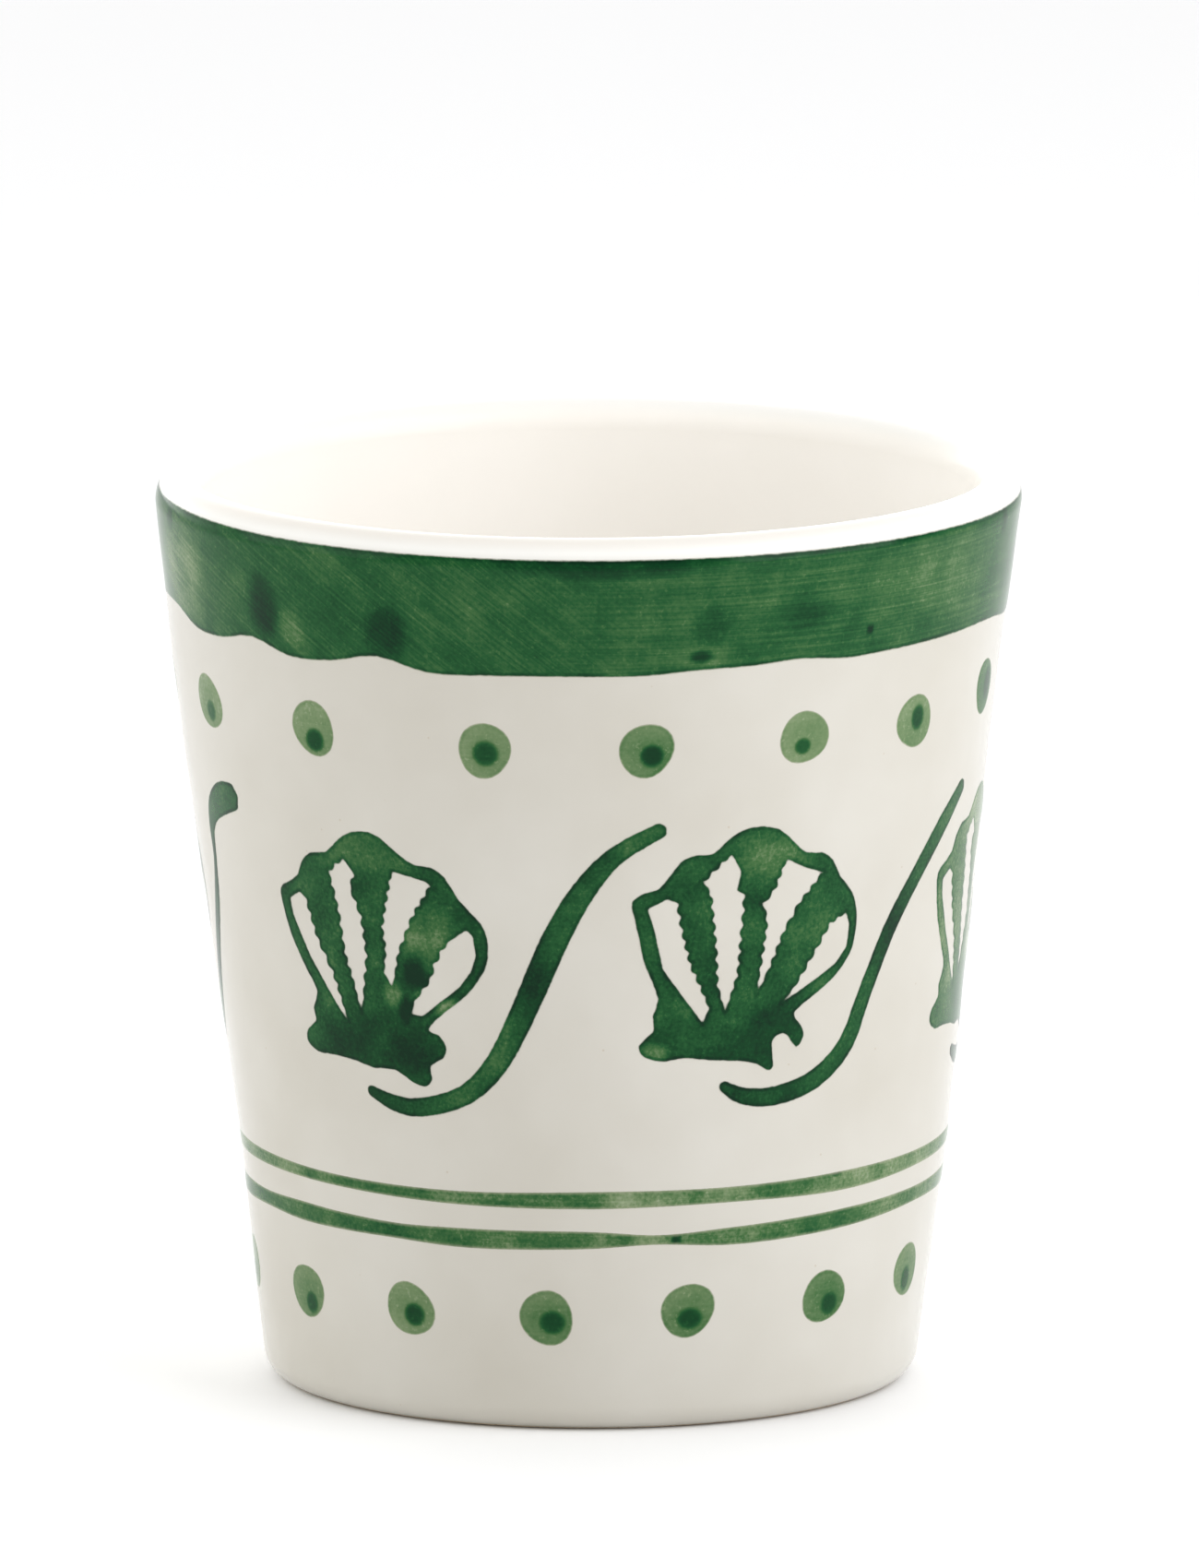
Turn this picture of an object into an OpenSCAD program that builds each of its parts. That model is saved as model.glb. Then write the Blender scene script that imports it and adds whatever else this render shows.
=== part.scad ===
// Handleless stoneware mug: a tapered, free-standing beaker of thick fired clay, glazed white and
// painted in green with a rim band, two rows of dots, six scallop shells with wave strokes between
// them, and a pair of lines. Millimetres, +Z up, origin at the centre of the face it stands on.

/* [Cup] */
// Diameter across the widest part of the lip
rim_d = 90; // [80:1:100]
// Height from the table to the crest of the lip
height = 95.5; // [90:0.5:105]
// Diameter at which the wall's line meets the table
base_d = 67.5; // [62:0.5:74]
// Thickness of the wall with its glaze, square to the wall
wall_t = 4.7; // [4:0.1:6]
// Thickness of the floor with its glaze, above the table
floor_t = 6.4; // [5:0.1:8]
// Height of the rounded lip above its widest line
lip_h = 3.2; // [2:0.1:4]
// Radius of the outer bottom edge
corner_r = 3; // [2:0.1:4]
// Radius between the wall and the floor inside
cavity_r = 9; // [5:0.5:12]

/* [Foot] */
// Width of the bare clay ring that the mug stands on
foot_w = 4.6; // [3:0.1:7]
// Depth of the hollow under the floor
recess_h = 1.3; // [0.8:0.1:2]
// How far the foot ring's inner side slopes in on its way up
recess_slope = 0.8; // [0.4:0.1:1.5]

/* [Coats] */
// Thickness of the glaze
glaze_t = 0.35; // [0.3:0.01:0.5]
// Thickness of the painted colour
paint_t = 0.12; // [0.1:0.01:0.2]
// Angle down the outer bottom edge at which the glaze stops
glaze_stop = 72; // [60:1:80]

/* [Band and lines] */
// Distance from the crest of the lip to the top of the band
band_gap = 2.1; // [1:0.1:2.5]
// Mean width of the band
band_w = 11.8; // [10:0.1:13]
// Height of the upper line
upper_line_z = 25; // [24:0.1:26]
// Width of the upper line
upper_line_w = 1.5; // [1.2:0.1:1.8]
// Height of the lower line
lower_line_z = 20.8; // [20:0.1:21.5]
// Width of the lower line
lower_line_w = 1.7; // [1.2:0.1:2]

/* [Dots] */
// Mean diameter of a dot
dot_d = 5.7; // [4.5:0.1:6.5]
// Height of the upper row
upper_dots_z = 73.5; // [72:0.1:75]
// Height of the lower row
lower_dots_z = 12.7; // [11.5:0.1:14]

/* [Shells and waves] */
// Height of the point that a shell and its wave are drawn about
motif_z = 45; // [44:0.1:46]
// Depth of the teeth along a rib
tooth_depth = 0.45; // [0.2:0.05:0.6]
// Length of one tooth along a rib
tooth_pitch = 1.45; // [1.2:0.05:2]

/* [Hidden] */
$fn = 96;

clay_colour = [0.84, 0.78, 0.69];
glaze_colour = [0.95, 0.94, 0.90];
liner_colour = [0.96, 0.93, 0.89];
paint_colour = [0.13, 0.37, 0.20];

// The wall: a straight taper from the table to the widest line of the lip
lip_z = height - lip_h;
taper = atan((rim_d - base_d) / 2 / lip_z);
wall_across = wall_t / cos(taper);
lip_a = wall_across / 2;
function wall_r(z) = base_d / 2 + z * tan(taper);

// Outer bottom edge: an arc that meets the wall and the table without a crease
corner_x = wall_r(corner_r) - corner_r / cos(taper);
foot_inner_r = corner_x - foot_w;
recess_r = foot_inner_r - recess_slope;

function arc(cx, cz, rx, rz, a0, a1, steps) =
    [for (i = [0:steps]) let (a = a0 + (a1 - a0) * i / steps) [cx + rx * cos(a), cz + rz * sin(a)]];
function reversed(points) = [for (i = [len(points) - 1:-1:0]) points[i]];

// Profiles of the glazed surface, each set back into the clay by d
function corner_arc(d, low) = arc(corner_x, corner_r, corner_r - d, corner_r - d, -low, -taper, 8);
function lip_arc(d, a0, a1) = arc(rim_d / 2 - lip_a, lip_z, lip_a - d / cos(taper), lip_h - d, a0, a1, 8);
function cavity_arc(d) =
    let (r = cavity_r + d,
         cx = wall_r(floor_t + cavity_r) - wall_across - cavity_r / cos(taper))
    arc(cx, floor_t + cavity_r, r, r, -taper, -90, 10);
function outer_profile(d) = concat(corner_arc(d, glaze_stop), lip_arc(d, 0, 90));
function cavity_profile(d) = concat(cavity_arc(d), [[0, floor_t - d]]);
function inner_profile(d) = concat(lip_arc(d, 90, 180), cavity_profile(d));

// Fired clay: wall, floor and foot in one piece, set back everywhere that glaze covers it
module clay_body() {
    color(clay_colour)
    rotate_extrude()
    polygon(concat(
        [[0, recess_h + glaze_t], [recess_r, recess_h + glaze_t], [foot_inner_r, 0]],
        arc(corner_x, corner_r, corner_r, corner_r, -90, -glaze_stop, 4),
        corner_arc(glaze_t, glaze_stop),
        lip_arc(glaze_t, 0, 180),
        cavity_profile(glaze_t)
    ));
}

// Liner glaze, from the crest of the lip over the inside and the floor
module inner_glaze() {
    color(liner_colour)
    rotate_extrude()
    polygon(concat(inner_profile(0), reversed(inner_profile(glaze_t))));
}

// Outer glaze, from the crest of the lip down to the wiped foot
module outer_glaze() {
    color(glaze_colour)
    rotate_extrude()
    polygon(concat(outer_profile(0), reversed(outer_profile(glaze_t))));
}

// Glaze in the hollow under the floor, inside the bare foot ring
module base_glaze() {
    color(glaze_colour)
    translate([0, 0, recess_h])
    cylinder(h = glaze_t, r = recess_r);
}

// Heights of a painted edge round the mug, as a smooth closed curve through evenly spaced values
function catmull(a, b, c, d, t) =
    0.5 * (2 * b + (c - a) * t + (2 * a - 5 * b + 4 * c - d) * t * t + (3 * b - a - 3 * c + d) * t * t * t);
function around(values, angle) =
    let (n = len(values), s = (angle % 360) / 360 * n, i = floor(s), t = s - i)
    catmull(values[(i + n - 1) % n], values[i % n], values[(i + 1) % n], values[(i + 2) % n], t);

// Rise and fall of the band's lower edge, in even steps from the front towards +X
band_edge = [
    -0.4, -0.4, 0, 0.1, 0.4, -0.1, 0, 0.1, 0.2, 0.3, 0.1, -0.5,
    -0.3, 0.2, 0.5, 0.1, -0.2, -0.4, 0, 0.3, 0.6, 0.2, -0.3, -0.1,
    0.4, 0.7, 0.2, -0.2, -0.4, 0, 0.5, 0.3, -0.1, -0.4, 0.2, 0.6,
    1.1, 1.6, 1.4, 0, 0, 0.9, -0.4, -0.2, 0.8, -0.5, -0.5, -0.4
];
// Rise and fall of the band's top edge, in even steps from the front towards +X
band_top = [0.1, 0, -0.1, 0, 0.1, 0.1, 0.5, 0.2];
// Rise and fall of each line, in even steps from the front towards +X
upper_line_drift = [0, 0.1, 0.1, 0.5, 0.7, 0.5, 0.2, -0.1, -0.2, 0.1, 0.3, 0.2, 0.4, 0.3, 0, -0.2];
lower_line_drift = [-0.1, -0.2, 0.2, 0.7, 0.7, 0.4, 0.2, 0.1, -0.1, 0, 0.2, 0.1, 0, 0.1, -0.1, -0.3];
// How much each edge of a line swells out, in even steps from the front towards +X
upper_line_swell = [0.1, 0, 0.2, 0, 0, -0.1, 0.1, 0, -0.2, 0.1, 0, -0.1, 0, -0.1, -0.2, -0.1];
lower_line_swell = [
    0, -0.4, 0, 0.1, 0.1, 0, -0.1, 0, 0.1, 0, -0.1, 0.1, 0, -0.1, 0, 0.1,
    0, -0.1, 0.1, 0, -0.2, 0, 0.1, 0, 0.1, 0, -0.1, 0.1, 0, -0.1, 0.1, 0.1
];

// How far the glazed surface stands from the axis at a height, on the wall or on the lip
function skin_r(z) =
    z <= lip_z ? wall_r(z) : rim_d / 2 - lip_a + lip_a * sqrt(1 - pow((z - lip_z) / lip_h, 2));

// A painted ring that follows the glazed surface: each row lists its heights round the mug, lowest first
module painted_ring(rows) {
    n = len(rows[0]);
    m = len(rows);
    function corner(k, j) =
        let (z = j < m ? rows[j][k] : rows[2 * m - 1 - j][k],
             r = skin_r(z) + (j < m ? 0 : paint_t),
             a = k * 360 / n)
        [r * sin(a), -r * cos(a), z];
    points = [for (k = [0:n - 1]) for (j = [0:2 * m - 1]) corner(k, j)];
    faces = [for (k = [0:n - 1]) for (j = [0:2 * m - 1])
        let (next = (k + 1) % n, up = (j + 1) % (2 * m))
        [2 * m * k + j, 2 * m * next + j, 2 * m * next + up, 2 * m * k + up]];
    color(paint_colour) polyhedron(points, faces, convexity = 4);
}

ring_steps = 144;
function ring(values, base) =
    [for (k = [0:ring_steps - 1]) base + around(values, k * 360 / ring_steps)];
module rim_band() {
    top = height - band_gap;
    low = ring(band_edge, top - band_w);
    high = ring(band_top, top);
    painted_ring([
        low,
        [for (z = high) lip_z],
        [for (z = high) lip_z + 0.6 * (z - lip_z)],
        high
    ]);
}
module line_ring(z, w, drift, swell) {
    painted_ring([
        ring(drift, z - w / 2) - ring(swell, 0),
        ring(drift, z + w / 2) + ring(swell, 0)
    ]);
}
module upper_line() { line_ring(upper_line_z, upper_line_w, upper_line_drift, upper_line_swell); }
module lower_line() { line_ring(lower_line_z, lower_line_w, lower_line_drift, lower_line_swell); }

// The thin coat of colour over the wall between two heights
module paint_coat(z0, z1) {
    rotate_extrude()
    polygon([
        [wall_r(z0), z0], [wall_r(z0) + paint_t, z0],
        [wall_r(z1) + paint_t, z1], [wall_r(z1), z1]
    ]);
}

// Lays flat drawing points, as distance round the wall and height, against the front of the mug,
// with the drawing turned back by an angle so that its middle faces the front
function laid(points, z, turned = 0) =
    [for (p = points) let (r = wall_r(z + p[1])) [r * sin(p[0] / r * 180 / PI - turned), p[1]]];
module front_prism(z) {
    translate([0, 0, z]) rotate([90, 0, 0]) linear_extrude(rim_d) children();
}

// A hand-set dot: a round blot whose outline wanders a little, differently for each seed
function blot(d, seed) =
    [for (i = [0:23]) let (a = i * 15, r = d / 2 * (1 + 0.04 * sin(2 * a + 73 * seed) + 0.03 * sin(3 * a + 131 * seed)))
        [r * cos(a), r * sin(a)]];
module dot_row(z, first, drift, rise) {
    n = len(drift);
    color(paint_colour)
    intersection() {
        paint_coat(z - dot_d, z + dot_d);
        union() {
            for (i = [0:n - 1])
                rotate([0, 0, first + i * 360 / n + drift[i]])
                front_prism(z + rise[i])
                polygon(laid(blot(dot_d, i), z + rise[i]));
        }
    }
}
// How far each dot strays from even spacing, in degrees
upper_drift = [0, -0.5, -3.5, -5.4, -4.2, -3.4, -2, -0.6, 0.8, 1.2, 0.3, -1.4, -2.1, -1.6, 1.4];
lower_drift = [0, 0.7, -0.9, -1.8, -1, 0.6, 1.5, 0.4, -0.8, 0.5, 2.5, 3.7, 2.8, 1.8];
// How far each dot strays above its row
upper_rise = [-0.3, 0, -0.2, 0.9, 0.5, 0.1, -0.2, 0.3, 0.6, 0.2, -0.2, 0.4, 0.5, 0.3, -0.4];
lower_rise = [0.2, 0.1, 0.6, 0.4, 0.5, 0, -0.3, 0.1, 0.3, -0.1, -0.3, -0.5, -0.4, -0.4];
module upper_dots() { dot_row(upper_dots_z, 7.9, upper_drift, upper_rise); }
module lower_dots() { dot_row(lower_dots_z, 16.4, lower_drift, lower_rise); }

// A curve through points, closed or open, with a few steps between each pair
function through(points, closed, steps) =
    let (n = len(points), last = closed ? n - 1 : n - 2)
    [for (i = [0:last]) for (s = [0:steps - 1])
        catmull(
            closed ? points[(i + n - 1) % n] : points[max(i - 1, 0)],
            points[i],
            points[(i + 1) % n],
            closed ? points[(i + 2) % n] : points[min(i + 2, n - 1)],
            s / steps)];

// One side of a flute with teeth: each stretch is cut into whole rounded teeth, whose tips stand to
// the right of it, in the flute, and whose roots stand to its left, in the rib. They shrink to
// nothing over the last stretch before the flute's pointed end.
tooth_shape = [-0.5, 0.2, 0.5, 0.2];
tooth_fade = 4;
function toothed(points, end) =
    [for (i = [0:len(points) - 2])
        let (a = points[i], d = points[i + 1] - a, l = norm(d),
             n = max(1, round(l / tooth_pitch)), side = [d[1], -d[0]] / l * tooth_depth)
        for (k = [0:n - 1]) for (j = [0:3])
            let (p = a + d * (k + j / 4) / n)
            p + side * tooth_shape[j] * min(1, norm(p - end) / tooth_fade)];

// A flute is the bare glaze between two ribs: its head, its right side down to its pointed end, and
// its left side back up, where a side is either toothed or smooth
function flute(head, right, right_teeth, left, left_teeth) =
    concat(
        head,
        right_teeth ? toothed(right, left[0]) : right,
        left_teeth ? toothed(left, left[0]) : left
    );

// Shells are drawn as distance round the wall and height from the motif's point
shell_a = [
    [-13.5, 10.8], [-12.2, 11.6], [-10.5, 12.6], [-9.8, 14.1], [-8.3, 15.3], [-6.1, 15.6],
    [-4.2, 17.2], [-2.6, 18.1], [-0.8, 18.4], [1, 18], [3.1, 16.4], [5, 15.3], [6.8, 15.2],
    [8.3, 14.2], [9.6, 12], [11.4, 10.1], [12.3, 8.7], [12.5, 6.8], [12, 4.6], [9.8, 1.7],
    [7.2, -0.3], [5.1, -2.3], [6.3, -2.8], [7.1, -4.1], [6.6, -5.3], [5.1, -6.2], [5.2, -7.6],
    [4.4, -8.5], [2.9, -8.2], [0.8, -7], [-1.8, -7.1], [-4, -6.6], [-7.3, -6.3], [-9.6, -6.3],
    [-11.2, -5.3], [-10.9, -4], [-9.5, -2.9], [-9.8, -1.6], [-9, 0.3], [-10.3, 2.3],
    [-12.3, 5.8], [-13.3, 9]
];
flutes_a = [
    flute([[-12, 9.9], [-10.4, 10.8]], [[-9.5, 9.9], [-8.2, 5.9], [-6.5, 2.7], [-4.8, -2.5]], true,
          [[-4.8, -2.5], [-6.7, -0.1], [-9.6, 4], [-11.7, 8.2]], false),
    flute([[-3.8, 15.2]], [[-2.6, 13.5], [-3.2, 12.1], [-2, 9.1], [-1.7, 5], [-2.9, -1.2]], true,
          [[-2.9, -1.2], [-3.5, 1.3], [-4.5, 5], [-4.9, 9.5], [-5.9, 13.5], [-3.8, 15.2]], true),
    flute([[2.2, 14.4], [4.7, 13.9], [6.1, 13.6]], [[6.6, 13.2], [4.4, 10], [2.3, 5.7], [1.2, 1.8]], true,
          [[1.2, 1.8], [0.4, 3.4], [0.8, 5.9], [0.6, 8.3], [1.2, 10.8], [2.2, 14.4]], true),
    flute([[10.3, 8.7], [10.9, 8.1]], [[11.1, 6], [10.4, 4.2], [8.9, 2.4], [4.6, -0.9]], false,
          [[3.3, -0.8], [3.8, 0.6], [5.9, 3.2], [6.4, 4.7], [8.2, 7.6]], true)
];
shell_b = [
    [-14.2, 12], [-13, 12.9], [-11.5, 13.3], [-10.4, 14.6], [-9.2, 16.2], [-7.6, 16.8], [-5.9, 16.8],
    [-4.5, 18], [-2.8, 19.1], [-0.6, 19.4], [1.6, 18.9], [3.3, 17.5], [5, 16.1], [7, 15.9],
    [8.5, 14.9], [9.6, 13], [11.4, 11.1], [12.2, 8.7], [12, 6.2], [11.3, 4.4], [9.4, 2.3],
    [6.6, 0.5], [4.4, -1], [5.2, -2.2], [5.8, -3.5], [4.9, -4.8], [3.8, -3.4], [2.8, -3.1],
    [1.9, -3.9], [2.2, -6.4], [1.5, -6.9], [0.3, -6.1], [-1.8, -5.6], [-5, -5.3], [-7.8, -4.9],
    [-9.9, -5.2], [-12, -4.7], [-12.7, -3.4], [-11.2, -1.9], [-11.4, -0.2], [-10.9, 1.6],
    [-12.6, 5.5], [-13.3, 8.3], [-13.9, 10.4]
];
flutes_b = [
    flute([[-12.5, 11.2], [-10.5, 12.2]], [[-9.4, 11.6], [-8.8, 8.8], [-7.7, 5.1], [-5.4, 0.3], [-6, -1.3]], true,
          [[-6, -1.3], [-9.3, 3], [-10.6, 4.8], [-11.7, 9]], false),
    flute([[-3.8, 16.7], [-2.6, 14.7], [-3, 12.7]], [[-2.1, 12.1], [-2.3, 7.4], [-2.5, 3.6], [-3.6, -0.2]], true,
          [[-3.6, -0.2], [-4.6, 2.7], [-5, 6.9], [-5.8, 12.5], [-6.8, 13.8], [-3.8, 16.7]], true),
    flute([[2.6, 15.7], [4.6, 14.6]], [[7.3, 13.8], [4.6, 11], [2.7, 8], [1.2, 4.3], [-0.2, 1.3]], true,
          [[-0.2, 1.3], [0.3, 5.5], [0.7, 9.3], [0, 11], [1.3, 12.3], [2.6, 15.7]], true),
    flute([[10.6, 9.1]], [[11.1, 7.8], [10.9, 5.4], [9.5, 3.8], [7, 2.4]], false,
          [[2.8, 0.2], [4.2, 1.6], [6.8, 5.5], [8.5, 8.1], [10.6, 9.1]], true)
];

// Wave strokes are drawn as distance round the wall, height and half width of the brush mark
wave_a = [
    [-2.5, -9.6, 0.6], [0.2, -10.6, 0.9], [3.5, -10.8, 1], [8.7, -9.1, 1.05], [12.6, -5.3, 1.2],
    [16.1, 1, 1.35], [19.2, 7.3, 1.4], [22.4, 12.6, 1.25], [26.3, 16.9, 1], [31.3, 19.6, 0.8]
];
wave_b = [
    [-3.4, -8.2, 0.6], [-1.2, -9.4, 0.9], [2.6, -9.7, 1.05], [7.4, -8.4, 1.1], [11.5, -5.1, 1.1],
    [13.9, 0, 1.05], [17.2, 6.2, 1.05], [21.8, 11.6, 1.05], [26.6, 16.1, 1.1], [31.3, 19.5, 0.8]
];
wave_c = [
    [-3, -8.6, 0.6], [-0.5, -9.9, 0.9], [3.2, -10.4, 1], [8.2, -8.9, 1.1], [12, -4.8, 1.1], [15.2, 1.6, 1],
    [18.6, 7.2, 0.8], [20.1, 11.5, 0.5], [20.6, 14.8, 0.8], [22.4, 17.2, 1.4], [25.4, 18.7, 1.7], [28, 19.3, 1.5]
];

// How far the middle of a stroke stands round the mug from its shell, in degrees
wave_turn = 20;

// The outline of a brush mark: down one side of its path, round the end, and back up the other
function brush_mark(path) =
    let (line = concat(through(path, false, 3), [path[len(path) - 1]]), n = len(line),
         along = [for (i = [0:n - 1])
             let (d = line[min(i + 1, n - 1)] - line[max(i - 1, 0)], l = norm([d[0], d[1]])) [d[0], d[1]] / l],
         side = [for (i = [0:n - 1]) [-along[i][1], along[i][0]] * line[i][2]],
         mid = [for (p = line) [p[0], p[1]]])
    concat(
        [for (i = [0:n - 1]) mid[i] + side[i]],
        [for (a = [60, 0, -60]) mid[n - 1] + (along[n - 1] * cos(a) * line[n - 1][2]) + side[n - 1] * sin(a)],
        [for (i = [n - 1:-1:0]) mid[i] - side[i]],
        [for (a = [-60, 0, 60]) mid[0] - (along[0] * cos(a) * line[0][2]) + side[0] * sin(a)]
    );

// Where each motif stands round the mug, in degrees from the front towards +X, and how far its
// shell leans to the left
motif_angle = [-33, 26, 82, 141, 200, 259];
motif_lean = [0, 0, -0.7, -2, 2.5, -1];

function leaning(points, a) =
    [for (p = points) [p[0] * cos(a) - p[1] * sin(a), p[0] * sin(a) + p[1] * cos(a)]];
function is_a(k) = k % 2 == 0;

module shell(k) {
    outline = through(is_a(k) ? shell_a : shell_b, true, 2);
    flutes = is_a(k) ? flutes_a : flutes_b;
    color(paint_colour)
    intersection() {
        paint_coat(motif_z - 12, motif_z + 22);
        rotate([0, 0, motif_angle[k]])
        front_prism(motif_z)
        difference() {
            polygon(laid(leaning(outline, motif_lean[k]), motif_z));
            for (f = flutes) polygon(laid(leaning(f, motif_lean[k]), motif_z));
        }
    }
}

module wave(k) {
    path = k == 5 ? wave_c : is_a(k) ? wave_a : wave_b;
    color(paint_colour)
    intersection() {
        paint_coat(motif_z - 14, motif_z + 24);
        rotate([0, 0, motif_angle[k] + wave_turn])
        front_prism(motif_z)
        polygon(laid(brush_mark(path), motif_z, wave_turn));
    }
}

clay_body();
inner_glaze();
outer_glaze();
base_glaze();
rim_band();
upper_dots();
upper_line();
lower_line();
lower_dots();
for (k = [0:len(motif_angle) - 1]) {
    shell(k);
    wave(k);
}
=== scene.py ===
import bmesh
import bpy
import numpy as np
from mathutils import Matrix, Vector


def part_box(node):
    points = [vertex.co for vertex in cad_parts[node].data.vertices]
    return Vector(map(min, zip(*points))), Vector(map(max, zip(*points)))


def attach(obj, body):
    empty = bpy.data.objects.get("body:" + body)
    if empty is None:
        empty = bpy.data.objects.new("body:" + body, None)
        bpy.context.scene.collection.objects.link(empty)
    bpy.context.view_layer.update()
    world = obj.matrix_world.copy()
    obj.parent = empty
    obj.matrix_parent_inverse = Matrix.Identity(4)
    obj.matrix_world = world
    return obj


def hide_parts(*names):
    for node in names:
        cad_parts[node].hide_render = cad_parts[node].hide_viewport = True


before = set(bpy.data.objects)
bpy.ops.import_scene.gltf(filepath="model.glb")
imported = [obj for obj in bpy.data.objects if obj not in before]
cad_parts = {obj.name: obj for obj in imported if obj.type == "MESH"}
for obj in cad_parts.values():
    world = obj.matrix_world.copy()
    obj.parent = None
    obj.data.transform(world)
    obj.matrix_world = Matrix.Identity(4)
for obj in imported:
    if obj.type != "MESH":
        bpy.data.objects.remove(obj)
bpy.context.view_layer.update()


# ---- Clay body ------------------------------------------------------------------------------
# One piece of stoneware, thrown and then turned: wall, rounded lip, floor and foot ring together.
# The clay is bare only on the foot ring. Everywhere else glaze covers it, and it is set back by
# the glaze's thickness. All shapes are worked out in millimetres and put in the mesh in metres.
MM = 0.001
GLAZE_T = 0.35
CORNER_R = 3.0
CAVITY_R = 9.0
FOOT_W = 4.6
FOOT_EDGE_R = 0.5
ROUND_STEPS = 384
SHARP_OVER = 40


def cad_points(node):
    """All corners of a CAD node's triangles, in millimetres, with the triangles' own indices."""
    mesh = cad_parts[node].data
    mesh.calc_loop_triangles()
    points = np.empty(len(mesh.vertices) * 3, np.float32)
    mesh.vertices.foreach_get("co", points)
    corners = np.empty(len(mesh.loop_triangles) * 3, np.int32)
    mesh.loop_triangles.foreach_get("vertices", corners)
    return points.reshape(-1, 3).astype(float) / MM, corners.reshape(-1, 3)


# The wall's line runs from the widest line of the lip down to where it touches the corner's arc
skin, _ = cad_points("outer_glaze")
skin_r = np.hypot(skin[:, 0], skin[:, 1])
height = skin[:, 2].max()
rim_r = skin_r.max()
lip_z = skin[skin_r.argmax(), 2]
low = skin[:, 2] < height / 4
wall_slope = ((rim_r - skin_r[low]) / (lip_z - skin[low, 2])).min()
taper = np.degrees(np.arctan(wall_slope))
slant = np.hypot(1, wall_slope)
crest_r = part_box("inner_glaze")[1].x / MM
lip_half = rim_r - crest_r
floor_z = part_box("inner_glaze")[0].z / MM + GLAZE_T
recess_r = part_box("base_glaze")[1].x / MM
recess_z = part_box("base_glaze")[0].z / MM


def wall_radius(z):
    """The outer face of the glazed wall: a straight taper through the widest line of the lip."""
    return rim_r - wall_slope * (lip_z - z)


def skin_radius(z):
    """The outer face of the glaze at a height: the wall's taper, and over it the lip's ellipse."""
    over = np.clip((z - lip_z) / (height - lip_z), 0, 1)
    return np.where(z < lip_z, wall_radius(z), crest_r + lip_half * np.sqrt(1 - over**2))


corner_x = wall_radius(CORNER_R) - CORNER_R * slant
glaze_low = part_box("outer_glaze")[0].z / MM
glaze_stop = np.degrees(np.arcsin(1 - glaze_low / CORNER_R))
cavity_x = wall_radius(floor_z + CAVITY_R) - 2 * lip_half - CAVITY_R * slant
foot_inner_r = corner_x - FOOT_W


def smooth(x, low, high):
    """0 below low, 1 above high, and 3 s^2 - 2 s^3 between them."""
    s = np.clip((x - low) / (high - low), 0, 1)
    return s * s * (3 - 2 * s)


def hand_stray(t, z):
    """How far the hand-made wall strays from a true cone at angle t and height z, in millimetres:
    it leans one way under the band and the other way above the foot, and shallow ripples run
    round it and up it."""
    lean = 0.35 * np.exp(-(((z - 25) / 14) ** 2)) - 0.4 * np.exp(-(((z - 72) / 18) ** 2))
    round_it = 0.07 * np.sin(2 * t + 0.6) + 0.05 * np.sin(3 * t + z / 30)
    up_it = 0.03 * np.sin(z / 1.9 + 1.5 * np.sin(t)) * smooth(z, 6, 16)
    return lean * np.sin(t) + round_it + up_it


def wiped_edge(t):
    """How far down the corner's arc the glaze reaches at angle t, in degrees, where it was wiped
    off by hand."""
    return glaze_stop + 1.6 * np.sin(2 * t + 1) + 1.0 * np.sin(5 * t) + 0.6 * np.sin(11 * t + 2)


def arc(centre, half_axes, angles):
    """Points on an ellipse, centre + (a cos, b sin) of each angle in degrees, as (..., 2)."""
    a = np.radians(angles)
    return np.stack([centre[0] + half_axes[0] * np.cos(a), centre[1] + half_axes[1] * np.sin(a)], -1)


def corner_arc(angles, inset):
    """The outer bottom edge of the glazed surface, set back by inset."""
    return arc((corner_x, CORNER_R), (CORNER_R - inset, CORNER_R - inset), angles)


def lip_arc(start, end, steps, inset):
    """The lip of the glazed surface, a half ellipse on top of the wall, set back by inset."""
    half_axes = (lip_half - inset * slant, height - lip_z - inset)
    return arc((crest_r, lip_z), half_axes, np.linspace(start, end, steps))


def cavity_arc(start, end, steps, inset):
    """The round edge between the wall and the floor inside, set back into the clay by inset."""
    reach = CAVITY_R + inset
    return arc((cavity_x, floor_z + CAVITY_R), (reach, reach), np.linspace(start, end, steps))


def joined(stretches, spacing, round_steps):
    """One profile for every angle round the mug from stretches of points, each of them the same
    all round or given for each angle, with points added wherever two lie further apart than
    spacing."""
    parts = [np.broadcast_to(s, (round_steps, *np.shape(s)[-2:])) for s in stretches]
    rough = np.concatenate(parts, axis=1)
    gaps = np.linalg.norm(np.diff(rough, axis=1), axis=2).mean(axis=0)
    counts = np.maximum(np.ceil(gaps / spacing), 1).astype(int)
    places = np.repeat(np.arange(len(counts)), counts)
    shares = (np.arange(len(places)) - np.repeat(np.cumsum(counts) - counts, counts)) / counts[places]
    between = rough[:, places] + (rough[:, places + 1] - rough[:, places]) * shares[None, :, None]
    return np.concatenate([between, rough[:, -1:]], axis=1)


def angles_round(steps):
    """Even angles round the mug in radians, from the front towards +X, as a column."""
    return (np.arange(steps) * 2 * np.pi / steps)[:, None]


def placed(r, z, t):
    """Points at radius r and height z, at angle t from the front towards +X, with the hand's
    stray added to the radius and faded out towards the axis."""
    r = r + hand_stray(t, z) * np.minimum(r / 25, 1)
    return np.stack(np.broadcast_arrays(r * np.sin(t), -r * np.cos(t), z), axis=-1)


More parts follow.
